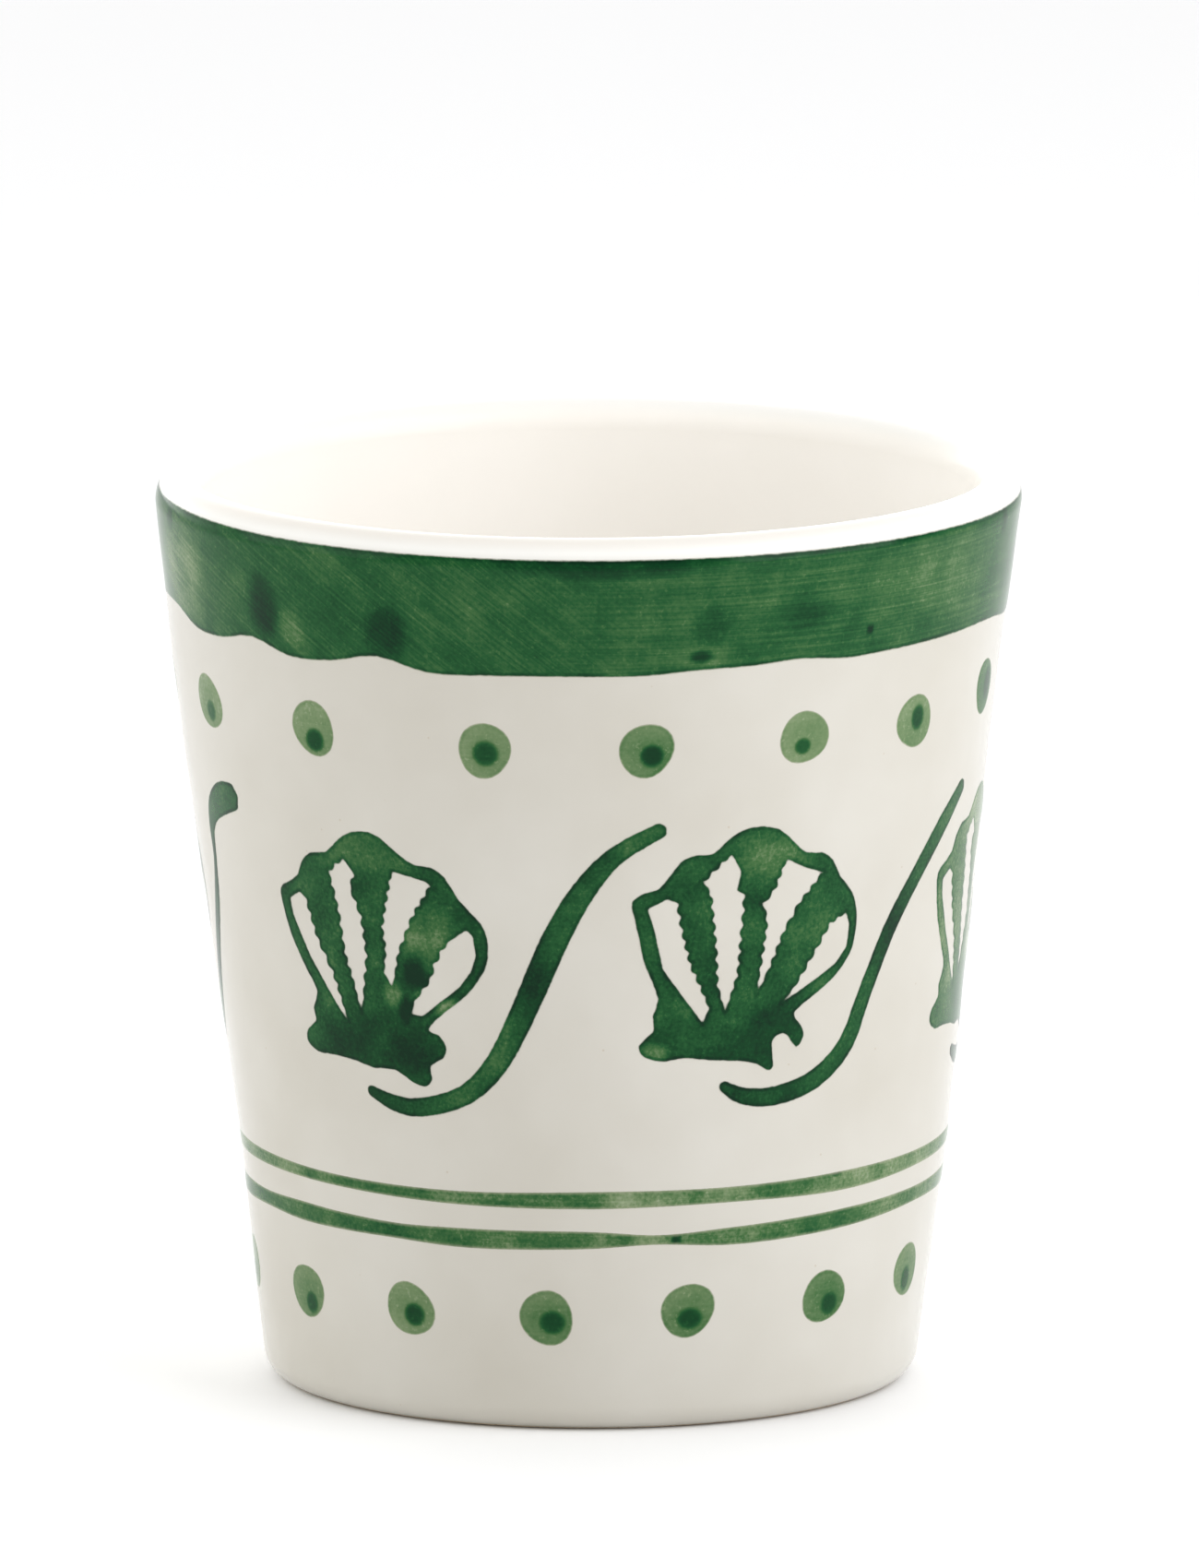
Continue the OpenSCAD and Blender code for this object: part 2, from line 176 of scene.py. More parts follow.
def mesh_piece(name, points, faces, material, **attributes):
    """A smooth mesh object from points in millimetres and four-sided faces, with its doubles
    merged, its edges over SHARP_OVER degrees sharp, and a number at each point for each attribute."""
    mesh = bpy.data.meshes.new(name)
    mesh.vertices.add(len(points))
    mesh.vertices.foreach_set("co", (points * MM).astype(np.float32).ravel())
    mesh.loops.add(faces.size)
    mesh.loops.foreach_set("vertex_index", faces.astype(np.int32).ravel())
    mesh.polygons.add(len(faces))
    mesh.polygons.foreach_set("loop_start", np.arange(0, faces.size, 4, dtype=np.int32))
    mesh.update(calc_edges=True)
    for key, values in attributes.items():
        mesh.attributes.new(key, "FLOAT", "POINT").data.foreach_set("value", values.astype(np.float32))
    work = bmesh.new()
    work.from_mesh(mesh)
    bmesh.ops.remove_doubles(work, verts=work.verts, dist=1e-8)
    work.to_mesh(mesh)
    work.free()
    mesh.shade_smooth()
    mesh.set_sharp_from_angle(angle=np.radians(SHARP_OVER))
    mesh.materials.append(material)
    piece = bpy.data.objects.new(name, mesh)
    bpy.context.scene.collection.objects.link(piece)
    return piece


def grid_faces(columns, rows, loop):
    """Faces of a grid of points that closes on itself along its columns, and along its rows too
    where they are a loop."""
    index = np.arange(columns * rows).reshape(columns, rows)
    across = np.roll(index, -1, axis=0)
    faces = np.stack([index, across, np.roll(across, -1, axis=1), np.roll(index, -1, axis=1)], axis=-1)
    return (faces if loop else faces[:, :-1]).reshape(-1, 4)


def turned(name, profile, material, loop=False):
    """A piece turned round the axis from a profile (angle, point, (r, z)) whose points run
    anticlockwise with r to the right. It starts and ends on the axis, or is a loop."""
    columns, rows = profile.shape[:2]
    points = placed(profile[..., 0], profile[..., 1], angles_round(columns))
    return mesh_piece(name, points.reshape(-1, 3), grid_faces(columns, rows, loop), material)


def linear(red, green, blue):
    """A colour of 0 to 255 as the linear colour that a shader takes."""
    c = np.array([red, green, blue]) / 255
    return (*np.where(c <= 0.04045, c / 12.92, ((c + 0.055) / 1.055) ** 2.4), 1.0)


def fed(tree, made, inputs):
    """The node with each of its named inputs set to a value or linked to a socket."""
    for key, value in inputs.items():
        if isinstance(value, bpy.types.NodeSocket):
            tree.links.new(value, made.inputs[key])
        else:
            made.inputs[key].default_value = value
    return made


def node(tree, kind, inputs=None, **settings):
    """A shader node with its settings and its inputs."""
    made = tree.nodes.new("ShaderNode" + kind)
    for key, value in settings.items():
        setattr(made, key, value)
    return fed(tree, made, inputs or {})


def sum_of(tree, first, *others):
    """Adds up numbers and sockets."""
    for other in others:
        first = node(tree, "Math", {0: first, 1: other}, operation="ADD").outputs[0]
    return first


def times(tree, a, b):
    """Multiplies two numbers or sockets."""
    return node(tree, "Math", {0: a, 1: b}, operation="MULTIPLY").outputs[0]


def eased(tree, value, start, end, low=0.0, high=1.0):
    """Goes smoothly from low, where value is start, to high, where it is end."""
    steps = {"Value": value, "From Min": start, "From Max": end, "To Min": low, "To Max": high}
    return node(tree, "MapRange", steps, interpolation_type="SMOOTHSTEP").outputs[0]


def noise(tree, place, scale, detail=2.0, spread=1.0):
    """A noise of 0 to 1 around the middle value 0.5, times spread, so that it comes out centred
    on 0."""
    made = node(tree, "TexNoise", {"Vector": place, "Scale": scale, "Detail": detail})
    centred = node(tree, "Math", {0: made.outputs["Fac"], 1: 0.5}, operation="SUBTRACT").outputs[0]
    return times(tree, centred, spread)


def laid_over(tree, share, under, over):
    """One colour laid over another by a share of 0 to 1."""
    return node(tree, "Mix", {0: share, 6: under, 7: over}, data_type="RGBA").outputs[2]


def height_of(tree, here):
    """The height of a point of the surface."""
    return node(tree, "SeparateXYZ", {0: here}).outputs[2]


def place_in_mm(tree):
    """The surface point in the mug's own frame, in millimetres."""
    here = node(tree, "TexCoord").outputs["Object"]
    return node(tree, "Mapping", {"Vector": here, "Scale": (1 / MM,) * 3}).outputs[0]


def new_group(name, takes, gives):
    """The tree of a shader node group with named inputs and outputs, what it takes and gives."""
    tree = bpy.data.node_groups.new(name, "ShaderNodeTree")
    for key, kind in takes.items():
        tree.interface.new_socket(key, in_out="INPUT", socket_type="NodeSocket" + kind)
    for key, kind in gives.items():
        tree.interface.new_socket(key, in_out="OUTPUT", socket_type="NodeSocket" + kind)
    return tree, tree.nodes.new("NodeGroupInput").outputs, tree.nodes.new("NodeGroupOutput").inputs


def grouped(tree, group, inputs):
    """The outputs of a group placed in a material with its own inputs."""
    made = tree.nodes.new("ShaderNodeGroup")
    made.node_tree = group
    return fed(tree, made, inputs).outputs


def new_material(name, **constants):
    """A material with one Principled BSDF whose constant inputs are set, its tree and the BSDF."""
    material = bpy.data.materials.new(name)
    material.use_nodes = True
    shader = material.node_tree.nodes["Principled BSDF"]
    for key, value in constants.items():
        shader.inputs[key.replace("_", " ")].default_value = value
    return material, material.node_tree, shader


def surfaced(tree, shader, color, roughness, height):
    """Feeds the shader its colour and roughness, and a relief in millimetres as its normal."""
    relief = node(tree, "Bump", {"Height": height, "Distance": MM, "Strength": 1.0})
    tree.links.new(color, shader.inputs["Base Color"])
    tree.links.new(roughness, shader.inputs["Roughness"])
    tree.links.new(relief.outputs[0], shader.inputs["Normal"])


clay, tree, shader = new_material("Bare_stoneware", Specular_IOR_Level=0.3)
here = place_in_mm(tree)
grit = noise(tree, here, 3.2, 4)
dust = noise(tree, here, 0.12, 3)
grains = node(tree, "TexVoronoi", {"Vector": here, "Scale": 1.1}).outputs[0]
sand = eased(tree, grains, 0.12, 0.2, 1.0, 0.0)
body_colour = laid_over(tree, sum_of(tree, grit, dust, 0.5), linear(196, 176, 148), linear(226, 212, 190))
body_colour = laid_over(tree, times(tree, sand, 0.55), body_colour, linear(140, 112, 84))
surfaced(tree, shader, body_colour, sum_of(tree, times(tree, grit, 0.2), 0.82),
         sum_of(tree, times(tree, grit, 0.06), times(tree, sand, -0.03)))

t = angles_round(ROUND_STEPS)
CORNER_START = -88
under_glaze = np.linspace(CORNER_START, -taper, 36) + 0 * t
set_back = GLAZE_T * smooth(under_glaze + wiped_edge(t), 0, 5)
clay_profile = joined([
    [(0, recess_z + GLAZE_T), (recess_r, recess_z + GLAZE_T)],
    arc((foot_inner_r + FOOT_EDGE_R, FOOT_EDGE_R), (FOOT_EDGE_R,) * 2, np.linspace(-150, -90, 8)),
    corner_arc(np.linspace(-90, CORNER_START, 2), 0),
    corner_arc(under_glaze, set_back),
    lip_arc(0, 180, 24, GLAZE_T),
    cavity_arc(-taper, -90, 16, GLAZE_T),
    [(0, floor_z - GLAZE_T)],
], 3.0, ROUND_STEPS)
clay_body = turned("Clay_body", clay_profile, clay)
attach(clay_body, "root")
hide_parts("clay_body")


# ---- Outer glaze ----------------------------------------------------------------------------
# A warm white gloss coat, dipped: from the crest of the lip over the outside, down to where it was
# wiped off above the foot, where it ends in a thin rolled edge. It shows faint clouds, the finest
# orange-peel, and a few pin-prick specks.
GLAZE_GLOSS = {"IOR": 1.5, "Specular_IOR_Level": 0.12}
OUTER_THICK = linear(195, 191, 181)
OUTER_THIN = linear(204, 201, 193)
# Painted light and shade: the lip's white stands for light on its front face, the crest's cream for shade
# on its top
LIP_PAINTED_LIGHT = linear(240, 239, 235)
CREST_PAINTED_SHADE = linear(232, 228, 221)

glaze_tone, takes, gives = new_group(
    "Glaze_tone",
    {"Place": "Vector", "Thick": "Color", "Thin": "Color"},
    {"Color": "Color", "Roughness": "Float", "Height": "Float"},
)
clouds = noise(glaze_tone, takes["Place"], 0.035, 3, 2.2)
veil = noise(glaze_tone, takes["Place"], 0.11, 2, 0.8)
peel = noise(glaze_tone, takes["Place"], 0.55, 2)
swell = noise(glaze_tone, takes["Place"], 0.06, 1)
specks = node(glaze_tone, "TexVoronoi", {"Vector": takes["Place"], "Scale": 0.23}).outputs[0]
pin_pricks = eased(glaze_tone, specks, 0.02, 0.035, 0.35, 0.0)
tone = laid_over(glaze_tone, sum_of(glaze_tone, clouds, veil, 0.5), takes["Thick"], takes["Thin"])
tone = laid_over(glaze_tone, pin_pricks, tone, linear(170, 150, 120))
glaze_tone.links.new(tone, gives["Color"])
glaze_tone.links.new(sum_of(glaze_tone, times(glaze_tone, clouds, 0.03), 0.14), gives["Roughness"])
relief = sum_of(glaze_tone, times(glaze_tone, peel, 0.006), times(glaze_tone, swell, 0.06))
glaze_tone.links.new(relief, gives["Height"])


def outer_coat(tree, here):
    """The outer glaze's colour, roughness and relief: whiter on the lip, a painted light where it faces
    the front, and cream on its crest, a painted shade where it faces up."""
    coat = grouped(tree, glaze_tone, {"Place": here, "Thick": OUTER_THICK, "Thin": OUTER_THIN})
    up = height_of(tree, here)
    lip_light_share = eased(tree, up, lip_z, lip_z + 2)
    crest_shade_share = eased(tree, up, height - 1.4, height - 0.2)
    lip_lit_colour = laid_over(tree, lip_light_share, coat["Color"], LIP_PAINTED_LIGHT)
    return laid_over(tree, crest_shade_share, lip_lit_colour, CREST_PAINTED_SHADE), coat["Roughness"], coat["Height"]


outer_white, tree, shader = new_material("Outer_white_glaze", **GLAZE_GLOSS)
surfaced(tree, shader, *outer_coat(tree, place_in_mm(tree)))

ROLL_DEGREES = 9
roll = np.linspace(0, 1, 8)
edge_angles = -wiped_edge(t) + ROLL_DEGREES * roll
rolled = GLAZE_T * (1 - np.sqrt(1 - (1 - roll) ** 2)) + 0 * t
rest = np.linspace(0, 1, 26)[1:]
corner_rest = edge_angles[:, -1:] + (-taper - edge_angles[:, -1:]) * rest
outer_profile = joined([
    corner_arc(edge_angles, rolled),
    corner_arc(corner_rest, 0),
    lip_arc(0, 90, 32, 0),
    lip_arc(90, 0, 8, GLAZE_T),
    corner_arc(corner_rest[:, ::-3], GLAZE_T),
], 1.0, ROUND_STEPS)
outer_glaze = turned("Outer_glaze", outer_profile, outer_white, loop=True)
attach(outer_glaze, "root")
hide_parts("outer_glaze")


# ---- Inner glaze ----------------------------------------------------------------------------
# The liner: the same white glaze, poured in and out. Its colours are set far lighter than the outer
# coat's, painted light that makes the inside brighter.
# It meets the outer coat at the crest of the lip and pools slightly round the floor.
# Painted light: lit and shaded copies of one glaze, the liner's colours much lighter than the outer coat's
INNER_THICK_LIT = linear(247, 244, 238)
INNER_THIN_LIT = linear(250, 247, 242)
inner_white, tree, shader = new_material("Inner_white_glaze", **GLAZE_GLOSS)
here = place_in_mm(tree)
liner = grouped(tree, glaze_tone, {"Place": here, "Thick": INNER_THICK_LIT, "Thin": INNER_THIN_LIT})
# Painted light: the inner face of the lip is whitened towards its top
lip_light_share = eased(tree, height_of(tree, here), height - 1.8, height - 0.1)
liner_colour = laid_over(tree, lip_light_share, liner["Color"], LIP_PAINTED_LIGHT)
surfaced(tree, shader, liner_colour, liner["Roughness"], liner["Height"])

POOL_RISE = 0.25
POOL_R = 17.0
floor_rings = np.linspace(cavity_x, 0, 40)
pooled = floor_z + POOL_RISE * (smooth(floor_rings, 0, POOL_R) - 1)
inner_profile = joined([
    [(0, floor_z - GLAZE_T - POOL_RISE)],
    cavity_arc(-90, -taper, 10, GLAZE_T),
    lip_arc(180, 90, 8, GLAZE_T),
    lip_arc(90, 180, 32, 0),
    cavity_arc(-taper, -90, 32, 0),
    np.column_stack([floor_rings, pooled])[1:],
], 1.2, ROUND_STEPS)
inner_glaze = turned("Inner_glaze", inner_profile, inner_white)
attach(inner_glaze, "root")
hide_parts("inner_glaze")


# ---- Base glaze -----------------------------------------------------------------------------
# A thin coat of the white glaze in the hollow under the floor, brushed in, thickening to a small
# rounded edge where it meets the bare foot ring.
BASE_EDGE = 0.3
base_profile = joined([
    [(0, recess_z + 0.12)],
    [(recess_r * 0.6, recess_z + 0.05)],
    arc((recess_r - BASE_EDGE, recess_z + BASE_EDGE), (BASE_EDGE,) * 2, np.linspace(-90, 0, 8)),
    [(recess_r, recess_z + GLAZE_T), (0, recess_z + GLAZE_T)],
], 1.0, ROUND_STEPS // 2)
base_glaze = turned("Base_glaze", base_profile, outer_white)
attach(base_glaze, "root")
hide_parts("base_glaze")


# ---- Rim band -------------------------------------------------------------------------------
# Copper green brushed on the raw glaze in one broad band under the lip while the mug turned on a
# banding wheel, and fired into it. It is thin: long streaks show where the brush dragged, darker
# pools where it stopped, and a dark line where colour gathered along each edge.

# A painted film's margin outside its painted edge, how deep that margin lies under the glaze, how
# far the colour rises from there, its underside, and half the width over which slanted streaks fade
MARGIN = 0.3
SINK = 0.015
RISE = 0.03
UNDERSIDE = -0.1
SLANT_FADE = 12
RING_STEPS = 720
NEAR_DEGREES = 0.3

# The fired colour from its thinnest to its darkest, and the stain that it leaves outside its edge
THINNEST = (150, 162, 132)
SHADES = {0.25: (108, 130, 92), 0.45: (60, 100, 56), 0.62: (26, 80, 40), 0.8: (6, 60, 28)}
DARKEST = (0, 40, 20)
FRINGE_OLIVE = (140, 146, 112)


def film_lift(edge, tone):
    """How far a painted film stands over the glaze: it starts just under the glaze at its margin,
    comes up through it outside the painted edge, and is a little thicker where it is dark."""
    return (SINK + RISE * (0.6 + 0.5 * tone)) * smooth(edge, -MARGIN, 0.25) - SINK


def marks(u, v, rows, crisp=4):
    """The sum of soft marks, each amount * exp(-rho^crisp), where rho is the distance from the
    mark's middle (u, v) in its own half axes. A row is u, v, half width, half height, amount."""
    total = 0 * (u + v)
    for mark_u, mark_v, half_w, half_h, amount in rows:
        rho = np.hypot((u - mark_u) / half_w, (v - mark_v) / half_h)
        total = total + amount * np.exp(-(rho**crisp))
    return total


fired_green, takes, gives = new_group(
    "Fired_green",
    {
        "Place": "Vector", "Edge": "Float", "Tone": "Float", "Mottle": "Float", "Streaks": "Float",
        "Slanted": "Float", "Softness": "Float", "Outline": "Float", "Fringe": "Float", "Glaze": "Color",
    },
    {"Color": "Color", "Height": "Float"},
)
mottle = times(fired_green, noise(fired_green, takes["Place"], 0.22, 5, 1.3), takes["Mottle"])
flecks = eased(fired_green, noise(fired_green, takes["Place"], 2.2, 3), 0.09, 0.2, 0.0, -0.1)
grain = times(fired_green, noise(fired_green, takes["Place"], 2.6, 3, 0.75), takes["Mottle"])
level = node(fired_green, "Mapping", {"Vector": takes["Place"], "Scale": (0.06, 0.06, 3.6)}).outputs[0]
level_drag = noise(fired_green, level, 1.0, 4)
leaning = node(fired_green, "Mapping", {"Vector": takes["Place"], "Rotation": (0, -0.66, 0)}).outputs[0]
leaning = node(fired_green, "Mapping", {"Vector": leaning, "Scale": (0.1, 0.1, 3.8)}).outputs[0]
leaning_drag = noise(fired_green, leaning, 1.0, 4)
drag = node(fired_green, "Mix", {0: takes["Slanted"], 2: level_drag, 3: leaning_drag}).outputs[0]
scratches = eased(fired_green, drag, 0.1, 0.19, 0.0, -0.22)
streaks = times(fired_green, sum_of(fired_green, drag, scratches), takes["Streaks"])
by_the_edge = eased(fired_green, takes["Edge"], 0.2, 0.48, 1.0, 0.0)
uneven = sum_of(fired_green, noise(fired_green, takes["Place"], 0.35, 3, 3.0), 0.7)
gathered = times(fired_green, times(fired_green, by_the_edge, uneven), takes["Outline"])
depth = sum_of(fired_green, takes["Tone"], mottle, flecks, grain, streaks, gathered)
ramp = node(fired_green, "ValToRGB", {0: depth})
stops = ramp.color_ramp.elements
stops[0].color = linear(*THINNEST)
stops[1].color = linear(*DARKEST)
for position, colour in SHADES.items():
    stops.new(position).color = linear(*colour)
ragged = noise(fired_green, takes["Place"], 1.3, 3, 0.16)
reach = sum_of(fired_green, takes["Edge"], ragged)
softness = takes["Softness"]
cover = eased(fired_green, reach, times(fired_green, softness, -1.0), softness)
fringe = times(fired_green, eased(fired_green, reach, -0.3, 0.05), takes["Fringe"])
stained = laid_over(fired_green, fringe, takes["Glaze"], linear(*FRINGE_OLIVE))
fired_green.links.new(laid_over(fired_green, cover, stained, ramp.outputs[0]), gives["Color"])
fired_green.links.new(times(fired_green, streaks, 0.02), gives["Height"])


def green_paint(name, mottle, streaks, softness, outline, fringe, slanted_over=None):
    """A material of the fired green. Mottle and streaks are how much its clouds and the brush's
    drag show, softness is how far the edge feathers, in millimetres, outline is how much colour
    gathered along it, and fringe how much stained the glaze outside it. The streaks slant where x
    is below slanted_over, in millimetres."""
    material, tree, shader = new_material(name, **GLAZE_GLOSS)
    here = place_in_mm(tree)
    coat_colour, coat_roughness, coat_height = outer_coat(tree, here)
    slanted = 0.0
    if slanted_over is not None:
        across = node(tree, "SeparateXYZ", {0: here}).outputs[0]
        slanted = eased(tree, across, slanted_over - SLANT_FADE, slanted_over + SLANT_FADE, 1.0, 0.0)
    paint = grouped(tree, fired_green, {
        "Place": here,
        "Edge": node(tree, "Attribute", attribute_name="edge").outputs["Fac"],
        "Tone": node(tree, "Attribute", attribute_name="tone").outputs["Fac"],
        "Mottle": mottle, "Streaks": streaks, "Slanted": slanted, "Softness": softness,
        "Outline": outline, "Fringe": fringe, "Glaze": coat_colour,
    })
    surfaced(tree, shader, paint["Color"], coat_roughness, sum_of(tree, paint["Height"], coat_height))
    return material


def painted_ring(name, node_name, row_step, tone, tone_marks, material):
    """A film that follows a ring of colour all round: its two edges are read from the CAD node, v
    runs from one to the other, and the tone is a level plus marks at (degrees, millimetres)."""
    points, _ = cad_points(node_name)
    turn = np.degrees(np.arctan2(points[:, 0], -points[:, 1])) % 360
    places = np.unique(np.round(turn, 1) % 360)
    near = np.abs((turn[None] - places[:, None] + 180) % 360 - 180) < NEAR_DEGREES
    lows = np.where(near, points[:, 2], np.inf).min(axis=1)
    highs = np.where(near, points[:, 2], -np.inf).max(axis=1)
    t = angles_round(RING_STEPS)
    low = np.interp(np.degrees(t[:, 0]), places, lows, period=360)[:, None]
    high = np.interp(np.degrees(t[:, 0]), places, highs, period=360)[:, None]
    rows = int(np.ceil(((highs - lows).max() + 2 * MARGIN) / row_step)) + 1
    z = low - MARGIN + (high - low + 2 * MARGIN) * np.linspace(0, 1, rows)
    edge = np.minimum(z - low, high - z)
    degrees = (np.degrees(t) + 180) % 360 - 180
    depth = tone + marks(degrees, z, tone_marks)
    top = placed(skin_radius(z) + film_lift(edge, depth), z, t)
    under = placed(skin_radius(z) + UNDERSIDE, z, t)[:, ::-1]
    grid = np.concatenate([top, under], axis=1)
    both = {"edge": edge, "tone": depth}
    values = {key: np.concatenate([v, v[:, ::-1]], axis=1).ravel() for key, v in both.items()}
    faces = grid_faces(len(t), 2 * rows, True)
    piece = mesh_piece(name, grid.reshape(-1, 3), faces, material, **values)
    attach(piece, "root")
    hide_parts(node_name)


band_green = green_paint("Band_green", 0.36, 0.5, 0.1, 0.2, 0.35, slanted_over=0)
# Painted reflection: the lighter marks at -72 and 55 degrees pale the band where it turns away to the
# sides
painted_ring("Rim_band", "rim_band", 0.26, 0.6, [
    (-49.4, 86, 3.1, 3.4, 0.3), (-28.3, 85.2, 3, 2.7, 0.26), (-33, 84.5, 8, 3.2, 0.1),
    (-44.6, 84.1, 2.6, 1.9, -0.17), (2, 92.7, 13, 1.1, 0.24), (16.5, 86.2, 2.6, 2.1, 0.2),
    (15.2, 83.0, 1.5, 0.7, 0.5), (15, 83.1, 5, 1.3, -0.1), (30.5, 87.2, 4.5, 2.4, 0.14),
    (41.3, 84.2, 0.6, 0.5, 0.5), (-72, 87.5, 9, 6, -0.22), (0, 93.1, 75, 0.5, 0.06),
    (55, 88.5, 15, 4.5, -0.12), (100, 86, 5, 3, 0.25), (150, 84, 4, 2.5, 0.3), (-120, 85, 4, 3, 0.28),
    (-165, 88, 12, 5, -0.12), (120, 88, 12, 5, -0.1),
    (-75, 92.3, 1.5, 1.2, 0.3), (73.5, 92.2, 1.2, 1.6, 0.3),
], band_green)


# ---- Banding lines --------------------------------------------------------------------------
# Two thin lines drawn with a loaded brush against the turning mug. Their edges are soft, they swell
# and fade a little, and each overlaps itself where the brush came round to its start.
line_green = green_paint("Line_green", 0.6, 0.3, 0.3, 0.02, 0.8)
# Painted reflection: the lighter marks at -70 and 60 degrees pale the line where it turns away to the
# sides
painted_ring("Upper_line", "upper_line", 0.16, 0.4, [
    (43, 26.2, 1.2, 0.5, 0.5), (-20, 25, 25, 3, 0.08), (60, 25, 15, 3, -0.12), (8, 25, 5, 2, -0.12),
    (-70, 25, 20, 3, -0.08), (150, 25, 20, 3, 0.1), (-140, 25, 20, 3, -0.1),
], line_green)
# Painted reflection: the lighter mark at 70 degrees pales the line where it turns away to the side
painted_ring("Lower_line", "lower_line", 0.16, 0.46, [
    (14, 20.6, 0.8, 0.6, 0.5), (9, 20.8, 3, 2, -0.2), (-30, 20.8, 20, 3, 0.1), (70, 21, 20, 3, -0.1),
    (130, 21, 15, 3, 0.1), (-130, 21, 25, 3, -0.12),
], line_green)


# ---- Dots -----------------------------------------------------------------------------------
# Two rows of dots, each one touch of a loaded round brush. The colour is thin and light, and a
# small dark pool stands where the brush was lifted.
FINE_STEP = 0.16
GAP_DEGREES = 4.0
ABOVE_GLAZE = 0.06
GENTLEST = 0.3
HAIR = 1e-6


def painted_outline(node_name, facing):
    """The outline of a CAD node's painted face as pairs of points (angle from facing in degrees,
    height): the edges that only one triangle of its outer skin has."""
    points, triangles = cad_points(node_name)
    outer = np.hypot(points[:, 0], points[:, 1]) > wall_radius(points[:, 2]) + ABOVE_GLAZE
    triangles = triangles[outer[triangles].all(axis=1)]
    _, same = np.unique(np.round(points, 3), axis=0, return_inverse=True)
    same = same.ravel()
    edges = np.concatenate([triangles[:, [0, 1]], triangles[:, [1, 2]], triangles[:, [2, 0]]])
    merged = np.sort(same[edges], axis=1)
    edges = edges[merged[:, 0] != merged[:, 1]]
    merged = merged[merged[:, 0] != merged[:, 1]]
    _, first, times_used = np.unique(merged, axis=0, return_index=True, return_counts=True)
    ends = points[edges[first[times_used == 1]]]
    turn = np.degrees(np.arctan2(ends[..., 0], -ends[..., 1]))
    return np.stack([(turn - facing + 180) % 360 - 180, ends[..., 2]], axis=-1)


def islands(outline):
    """The outline split wherever it leaves a gap round the mug, in order round it."""
    order = np.argsort(outline[:, :, 0].min(axis=1))
    outline = outline[order]
    furthest = np.maximum.accumulate(outline[:, :, 0].max(axis=1))
    breaks = np.flatnonzero(outline[1:, :, 0].min(axis=1) - furthest[:-1] > GAP_DEGREES) + 1
    return np.split(outline, breaks)


def depth_inside(u, v, lines):
    """How far each point of the grid lies inside the outline, below zero outside: the distance to
    the nearest edge, with its sign from how many edges a level ray crosses."""
    start, along = lines[:, 0], lines[:, 1] - lines[:, 0]
    length = np.maximum((along**2).sum(axis=1), 1e-12)
    inside = np.empty((len(u), len(v)))
    for row, height_here in enumerate(v):
        to_u = u[:, None] - start[:, 0]
        to_v = height_here - start[:, 1]
        share = np.clip((to_u * along[:, 0] + to_v * along[:, 1]) / length, 0, 1)
        near = np.hypot(to_u - share * along[:, 0], to_v - share * along[:, 1]).min(axis=1)
        straddles = (lines[:, 0, 1] > height_here) != (lines[:, 1, 1] > height_here)
        rise = np.where(along[:, 1] == 0, 1, along[:, 1])
        crossing = start[:, 0] + along[:, 0] * to_v / rise
        crossed = (straddles & (u[:, None] < crossing)).sum(axis=1)
        inside[:, row] = np.where(crossed % 2 == 1, near, -near)
    return inside


def softened(field, passes):
    """The field blurred with a 1-2-1 kernel both ways, which rounds the outline's corners."""
    for _ in range(passes):
        padded = np.pad(field, 1, mode="edge")
        field = (padded[:-2, 1:-1] + 2 * padded[1:-1, 1:-1] + padded[2:, 1:-1]) / 4
        padded = np.pad(field, 1, mode="edge")
        field = (padded[1:-1, :-2] + 2 * padded[1:-1, 1:-1] + padded[1:-1, 2:]) / 4
    return field


def film(outline, facing, step, tone, tone_marks, passes, crisp=4):
    """A thin closed film over one island of colour: a grid of step millimetres over its box, cut
    to the cells that reach within the margin of the outline, whose outside points are drawn in
    onto that margin. The marks' places are millimetres from the middle of the island."""
    low, high = outline.min(axis=(0, 1)), outline.max(axis=(0, 1))
    middle = (low + high) / 2
    per_degree = np.radians(wall_radius(middle[1]))
    size = (high - low) / 2 * (per_degree, 1) + MARGIN + 2 * step
    u, v = (np.linspace(-s, s, int(np.ceil(2 * s / step)) + 1) for s in size)
    inside = softened(depth_inside(u, v, (outline - middle) * (per_degree, 1)), passes)
    slope_u, slope_v = np.gradient(inside, u, v)
    steep = np.maximum(np.hypot(slope_u, slope_v), GENTLEST)
    back = np.maximum(-MARGIN - inside, 0)
    flat_u = u[:, None] + back * slope_u / steep
    flat_v = v[None] + back * slope_v / steep
    inside = np.maximum(inside, -MARGIN)
    index = np.arange(inside.size).reshape(inside.shape)
    cells = np.stack([index[:-1, :-1], index[1:, :-1], index[1:, 1:], index[:-1, 1:]], -1).reshape(-1, 4)
    cells = cells[(inside.ravel()[cells] > -MARGIN + HAIR).any(axis=1)]
    used, cells = np.unique(cells, return_inverse=True)
    cells = cells.reshape(-1, 4)
    flat_u, flat_v, edge = (x.ravel()[used] for x in (flat_u, flat_v, inside))
    depth = tone + marks(flat_u, flat_v, tone_marks, crisp)
    t = np.radians(facing + middle[0] + flat_u / per_degree)
    z = middle[1] + flat_v
    top = placed(wall_radius(z) + film_lift(edge, depth), z, t)
    under = placed(wall_radius(z) + UNDERSIDE, z, t)
    count = len(used)
    sides = np.stack([cells, np.roll(cells, -1, axis=1)], axis=-1).reshape(-1, 2)
    lone = ~np.isin(sides[:, 0] * count + sides[:, 1], sides[:, 1] * count + sides[:, 0])
    a, b = sides[lone].T
    faces = np.concatenate([cells, cells[:, ::-1] + count, np.stack([b, a, a + count, b + count], -1)])
    return np.concatenate([top, under]), faces, np.tile(edge, 2), np.tile(depth, 2)


